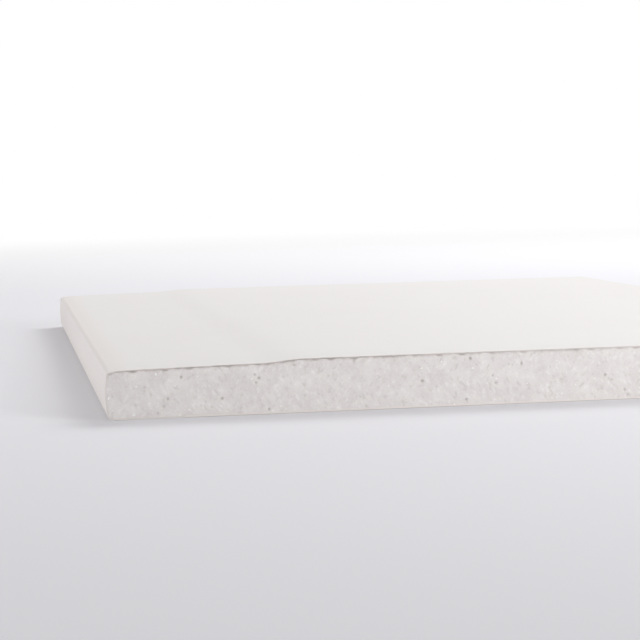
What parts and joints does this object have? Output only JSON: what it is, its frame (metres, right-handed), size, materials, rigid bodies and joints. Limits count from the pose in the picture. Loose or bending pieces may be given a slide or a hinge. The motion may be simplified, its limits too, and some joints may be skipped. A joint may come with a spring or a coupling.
{
  "type": "drywall sheet",
  "caption": "Flat gypsum board piece with a tapered, paper-wrapped bound edge and plain cut sides, a papered face and back.",
  "frame": {"origin": "centre of the bounding box's bottom face, on the back of the sheet", "axes": "+Z out of the papered face, +Y along the bound edge, -X towards the bound edge"},
  "size_m": [0.2, 0.3, 0.0125],
  "materials": {
    "gypsum": "matte, fine and porous",
    "face_paper": "matte ivory lining paper",
    "back_paper": "matte grey-brown lining paper"
  },
  "bodies": {
    "root": {"gypsum_core": "gypsum", "face_paper": "face_paper", "back_paper": "back_paper"}
  },
  "joints": []
}
